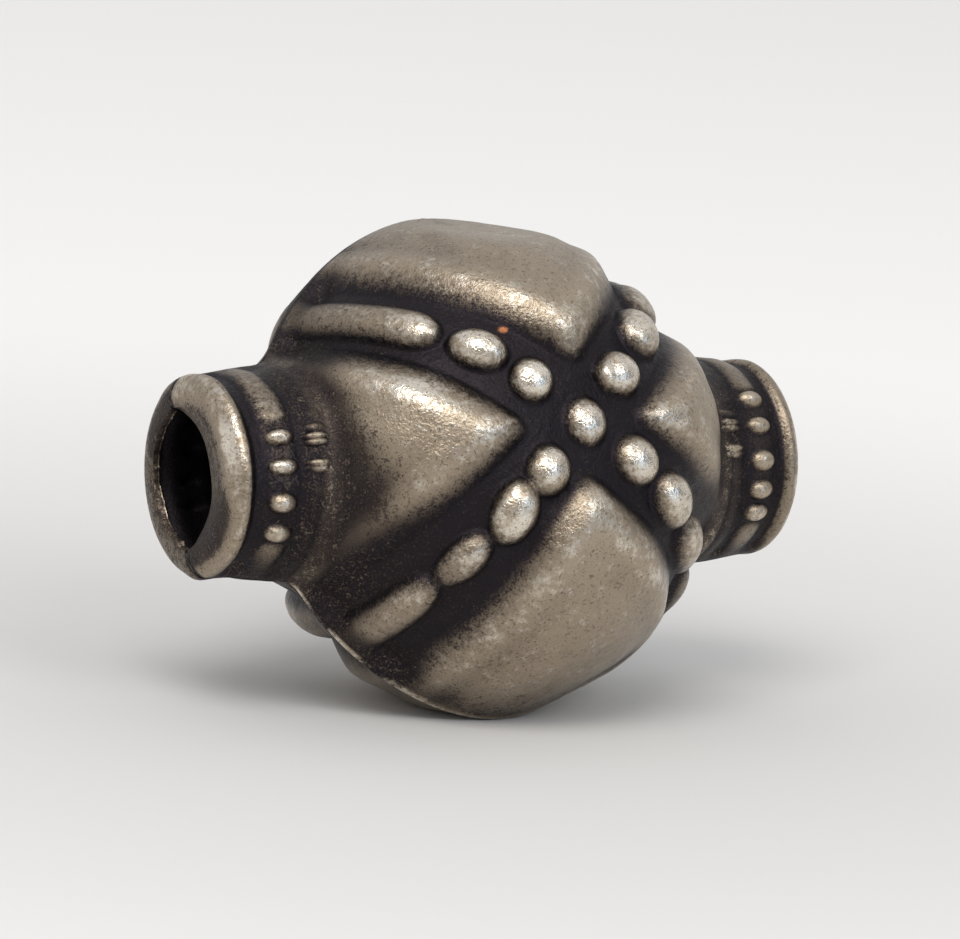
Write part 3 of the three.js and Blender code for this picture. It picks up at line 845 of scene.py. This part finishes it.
class Shade:
    """A socket of a material, so that shader maths reads as plain sums."""

    # Sockets of a Mix node for colours, whose names it has more than once
    MIX_FACTOR, MIX_FIRST, MIX_SECOND, MIX_RESULT = 0, 6, 7, 2

    def __init__(self, tree, socket):
        self.tree = tree
        self.socket = socket

    def put(self, target, value):
        if isinstance(value, Shade):
            self.tree.links.new(value.socket, target)
        else:
            target.default_value = value

    def node(self, kind, settings=None, inputs=None, output=0):
        """Adds a node, sets its settings, fills its sockets and returns one output"""
        made = self.tree.nodes.new(kind)
        for name, value in (settings or {}).items():
            setattr(made, name, value)
        for name, value in (inputs or {}).items():
            self.put(made.inputs[name], value)
        return Shade(self.tree, made.outputs[output] if made.outputs else None)

    def maths(self, operation, first, second):
        return self.node("ShaderNodeMath", {"operation": operation}, {0: first, 1: second})

    def __add__(self, other):
        return self.maths("ADD", self, other)

    def __mul__(self, other):
        return self.maths("MULTIPLY", self, other)

    def __sub__(self, other):
        return self.maths("SUBTRACT", self, other)

    def __rsub__(self, other):
        return self.maths("SUBTRACT", other, self)

    __radd__ = __add__
    __rmul__ = __mul__

    def between(self, low, high):
        """0 below low, 1 above high and a smooth rise between"""
        return self.node(
            "ShaderNodeMapRange", {"interpolation_type": "SMOOTHSTEP"},
            {"Value": self, "From Min": low, "From Max": high},
        )

    def mix(self, first, second):
        """From the first colour to the second by this factor"""
        first, second = (
            value if isinstance(value, Shade) else (*value, 1.0) for value in (first, second)
        )
        return self.node(
            "ShaderNodeMix", {"data_type": "RGBA"},
            {self.MIX_FACTOR: self, self.MIX_FIRST: first, self.MIX_SECOND: second},
            output=self.MIX_RESULT,
        )


def start_material(name):
    """A new material, a Shade that adds nodes to it, and its surface shader"""
    material = bpy.data.materials.new(name)
    material.use_nodes = True
    tree = material.node_tree
    surface = tree.nodes["Principled BSDF"]
    return material, Shade(tree, None), surface


def worn_silver(name):
    """Silver that is black in the recesses, brown round them and bright where handling wears it,
    with painted highlights and painted shade in a few places
    """
    look = bpy.context.scene.ojime_finish
    worn, bright, dark, brown = (tuple(c) for c in (look.worn, look.bright, look.dark, look.brown))
    material, shade, surface = start_material(name)
    place = shade.node("ShaderNodeTexCoord", output="Object")

    def grit(size, detail, rough, offset=0.0):
        moved = place
        if offset:
            moved = shade.node(
                "ShaderNodeVectorMath", {"operation": "ADD"}, {0: place, 1: (offset,) * 3},
            )
        return shade.node(
            "ShaderNodeTexNoise", {},
            {"Vector": moved, "Scale": 1 / size, "Detail": detail, "Roughness": rough},
        )

    def painted(kept):
        return shade.node("ShaderNodeAttribute", {"attribute_name": kept}, output="Fac")

    # Noises from coarse to fine, around 0, apart from that of the pits
    blotch = grit(1.3 * MM, 4.0, 0.6) - 0.5
    speck = grit(0.16 * MM, 3.0, 0.65, offset=3 * MM) - 0.5
    pit = grit(0.075 * MM, 2.0, 0.5, offset=7 * MM)
    fine = grit(0.05 * MM, 2.0, 0.6, offset=5 * MM) - 0.5
    smear = grit(0.5 * MM, 3.0, 0.6, offset=11 * MM) - 0.5
    above, crest, soot, rust = (painted(kept) for kept in ("above", "crest", "soot", "rust"))

    # Tarnish: black on the floor of the recesses, caked where soot gathers, brown round both; the
    # soot also carries painted shade on two lower grains of the near collar
    rise = above + crest * 0.6 - soot * 0.2
    black = 1 - (rise + speck * 0.5 + fine * 0.5 + blotch * 0.12).between(0.0, 0.28)
    caked = (soot * 0.8 - crest * 5 + speck * 1.5 + fine * 1.8 + blotch * 0.9).between(0.3, 0.9)
    dusk = 1 - (rise + speck * 0.4 + fine * 0.4 + blotch * 0.25).between(0.1, 0.52)
    mottle = (soot * 0.75 - crest * 3 + speck * 1.2 + fine * 1.2 + blotch * 0.8).between(0.18, 0.66)

    # Wear of the bare metal: stains, pits and fine grain, and polish on what stands proud, which
    # also carries the painted highlights
    stain = (blotch * 2.2 + smear * 0.8).between(0.0, 0.7)
    pits = pit.between(0.6, 0.68)
    bare = (fine * 1.2 + speck * 1.3).between(-0.1, 0.45)
    polish = (crest * 2.6 + smear * 1.1 + speck * 1.4 - soot * 0.4).between(0.06, 0.66)

    # Brown flecks in the tarnish, and crumbs of it that have come off
    flecks = (fine * 1.5 + speck * 0.6 + soot * 0.12).between(0.04, 0.4)
    crumbs = (fine * 1.6 + speck * 2.0 + smear * 0.8 + soot * 0.26).between(0.46, 1.0)
    grime = (flecks * (soot * 0.45 + 0.4)).mix(dark, brown)

    base = (polish * 0.85).mix(worn, bright)
    for mask, weight in ((stain, 0.45), (bare, 0.36), (dusk, 0.85), (mottle, 0.88), (pits, 0.55)):
        base = (mask * weight).mix(base, brown)
    base = caked.mix(base, grime)
    base = black.mix(base, grime)
    base = (crumbs * 0.32).mix(base, worn)
    base = (rust + speck * 1.5 * rust).between(0.1, 0.5).mix(base, tuple(look.rust))
    rough = 0.4 + mottle * 0.12 + black * 0.08 + speck * 0.3 + stain * 0.08 - polish * 0.22
    grain = speck + pit * 0.9 + fine * 0.5 + smear * 0.7 + black * smear * 1.2
    bump = {"Strength": 0.5, "Distance": 0.035 * MM, "Height": grain}
    shade.put(surface.inputs["Base Color"], base)
    shade.put(surface.inputs["Metallic"], 1.0)
    shade.put(surface.inputs["Roughness"], rough)
    shade.put(surface.inputs["Normal"], shade.node("ShaderNodeBump", {}, bump))
    return material


def dull_solder(name):
    look = bpy.context.scene.ojime_finish
    material, shade, surface = start_material(name)
    place = shade.node("ShaderNodeTexCoord", output="Object")
    patchy = shade.node(
        "ShaderNodeTexNoise", {}, {"Vector": place, "Scale": 1 / (0.2 * MM), "Detail": 3.0},
    )
    base = patchy.between(0.35, 0.65).mix(tuple(look.dark), tuple(look.solder))
    shade.put(surface.inputs["Base Color"], base)
    shade.put(surface.inputs["Metallic"], 1.0)
    shade.put(surface.inputs["Roughness"], 0.45 + patchy * 0.2)
    return material


def finish_piece(piece, material, node):
    """Gives a piece its material, and puts it in the place of a CAD node"""
    piece.data.materials.clear()
    piece.data.materials.append(material)
    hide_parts(node)
    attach(piece, "root")


class OJIME_OT_half_shells(bpy.types.Operator):
    """Model the two stamped half shells"""

    bl_idname = "ojime.half_shells"
    bl_label = "Half shells"

    def execute(self, context):
        silver = worn_silver("worn_silver")
        for side, node in SHELL_NODES.items():
            finish_piece(model_shell(side), silver, node)
        return {"FINISHED"}


class OJIME_OT_solder_seams(bpy.types.Operator):
    """Finish the solder between the rims, which follows them past the seam plane"""

    bl_idname = "ojime.solder_seams"
    bl_label = "Solder seams"

    def execute(self, context):
        solder = dull_solder("dull_solder")
        for node in SEAM_NODES:
            seam = bpy.data.objects.new(node + "_dull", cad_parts[node].data.copy())
            context.scene.collection.objects.link(seam)
            self.shift(seam, context.scene.ojime_sizes.lie_angle)
            self.merge_doubles(context, seam)
            finish_piece(seam, solder, node)
        return {"FINISHED"}

    @staticmethod
    def shift(seam, lie_angle):
        upright = Matrix.Rotation(lie_angle, 3, "X")
        for vertex in seam.data.vertices:
            place = upright @ vertex.co
            place.y += float(HalfShell.overlap(place.x, abs(place.y), place.z))
            vertex.co = upright.transposed() @ place

    @staticmethod
    def merge_doubles(context, seam):
        deselect()
        context.view_layer.objects.active = seam
        bpy.ops.object.mode_set(mode="EDIT")
        bpy.ops.mesh.select_all(action="SELECT")
        bpy.ops.mesh.remove_doubles(threshold=0.001 * MM)
        bpy.ops.object.mode_set(mode="OBJECT")


class OJIME_OT_stage(bpy.types.Operator):
    """Set the floor, the lamps and the camera"""

    bl_idname = "ojime.stage"
    bl_label = "Stage"

    def execute(self, context):
        stage = context.scene.ojime_stage
        self.floor(stage)
        self.camera(context, stage)
        self.world(context, stage)
        self.lamps(context, stage)
        context.scene.view_settings.view_transform = "Standard"
        return {"FINISHED"}

    def floor(self, stage):
        """Painted shade makes the camera see it a little darker near the bead, but it lights the
        bead as a plain floor does
        """
        low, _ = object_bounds()
        deselect()
        bpy.ops.mesh.primitive_plane_add(size=FLOOR_WIDTH, location=(0, 0, low.z))
        floor = bpy.context.object
        floor.name = "floor"
        material, shade, surface = start_material("pale_floor")
        place = shade.node("ShaderNodeTexCoord", output="Object")
        away = shade.node(
            "ShaderNodeVectorMath", {"operation": "LENGTH"}, {0: place}, output="Value",
        )
        # Painted shade round the bead, seen by the camera only
        near, far = tuple(stage.floor_near), tuple(stage.floor)
        shown = away.between(*FLOOR_NEAR_REACH).mix(near, far)
        seen = shade.node("ShaderNodeLightPath", output="Is Camera Ray")
        shade.put(surface.inputs["Base Color"], seen.mix(far, shown))
        shade.put(surface.inputs["Roughness"], 0.9)
        shade.put(surface.inputs["Specular IOR Level"], 0.1)
        floor.data.materials.append(material)
        floor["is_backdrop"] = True

    def camera(self, context, stage):
        azimuth, elevation, roll = stage.camera_azimuth, stage.camera_elevation, stage.camera_roll
        level = Vector((math.cos(azimuth), math.sin(azimuth), 0))
        flat = Vector((level.y, -level.x, 0)) * math.cos(elevation)
        back = flat + Vector((0, 0, math.sin(elevation)))
        upright = back.cross(level)
        right = level * math.cos(roll) + upright * math.sin(roll)
        up = upright * math.cos(roll) - level * math.sin(roll)
        place = Vector(CAMERA_AIM) + back * stage.camera_distance
        data = bpy.data.cameras.new("camera")
        data.lens = stage.focal_length
        data.clip_start = stage.camera_distance / 20
        camera = bpy.data.objects.new("camera", data)
        context.scene.collection.objects.link(camera)
        turn = Matrix((right, up, back)).transposed().to_4x4()
        camera.matrix_world = Matrix.Translation(place) @ turn
        context.scene.camera = camera

    def world(self, context, stage):
        """A soft sky that lights the bead, a room that the metal mirrors, darker behind the
        camera, and a plain pale backdrop"""
        world = bpy.data.worlds.new("surroundings")
        context.scene.world = world
        world.use_nodes = True
        tree = world.node_tree
        tree.nodes.clear()
        shade = Shade(tree, None)

        def background(tone, strength):
            return shade.node("ShaderNodeBackground", {}, {"Color": tone, "Strength": strength})

        def ray(kind):
            return shade.node("ShaderNodeLightPath", output=f"Is {kind} Ray")

        def choose(factor, first, second):
            return shade.node("ShaderNodeMixShader", {}, {0: factor, 1: first, 2: second})

        direction = shade.node("ShaderNodeTexCoord", output="Generated")
        height = shade.node("ShaderNodeSeparateXYZ", {}, {0: direction}, output="Z")
        depth = shade.node("ShaderNodeSeparateXYZ", {}, {0: direction}, output="Y")
        dim = depth.between(0.1, -0.7) * (1 - height.between(0.25, 0.75))
        sky = height.between(0.0, 0.8).mix(PALE, SKY)
        lit = background(sky, stage.world_strength)
        mirrored = background(dim.mix(sky, ROOM), 1.0)
        shown = choose(ray("Glossy") + ray("Transmission"), lit, mirrored)
        shown = choose(ray("Camera"), shown, background((*PALE, 1.0), 1.0))
        shade.node("ShaderNodeOutputWorld", {}, {"Surface": shown})

    def lamps(self, context, stage):
        for name, (place, width, power_share, tint) in LAMPS.items():
            data = bpy.data.lights.new(name, "AREA")
            data.energy = stage.key_power * power_share
            data.size = width
            data.color = tint
            lamp = bpy.data.objects.new(name, data)
            context.scene.collection.objects.link(lamp)
            lamp.location = place
            lamp.rotation_euler = Vector(place).to_track_quat("Z", "Y").to_euler()


class OJIME_PT_panel(bpy.types.Panel):
    """Lists the bead's sizes, colours and making steps"""

    bl_idname = "OJIME_PT_panel"
    bl_label = "Ojime bead"
    bl_space_type = "VIEW_3D"
    bl_region_type = "UI"
    bl_category = "Ojime bead"

    def draw(self, context):
        scene = context.scene
        for group in (scene.ojime_sizes, scene.ojime_finish, scene.ojime_stage):
            box = self.layout.box()
            for name in group.__annotations__:
                box.prop(group, name)
        for step in STEPS:
            self.layout.operator(step.bl_idname)


STEPS = (OJIME_OT_half_shells, OJIME_OT_solder_seams, OJIME_OT_stage)
GROUPS = {"ojime_sizes": OjimeSizes, "ojime_finish": OjimeFinish, "ojime_stage": OjimeStage}
CLASSES = (*GROUPS.values(), *STEPS, OJIME_PT_panel)


def register():
    for item in CLASSES:
        bpy.utils.register_class(item)
    for name, group in GROUPS.items():
        setattr(bpy.types.Scene, name, bpy.props.PointerProperty(type=group))


def unregister():
    for name in GROUPS:
        delattr(bpy.types.Scene, name)
    for item in reversed(CLASSES):
        bpy.utils.unregister_class(item)


def main():
    register()
    bpy.ops.ojime.half_shells()
    bpy.ops.ojime.solder_seams()
    bpy.ops.ojime.stage()


if __name__ == "__main__":
    main()
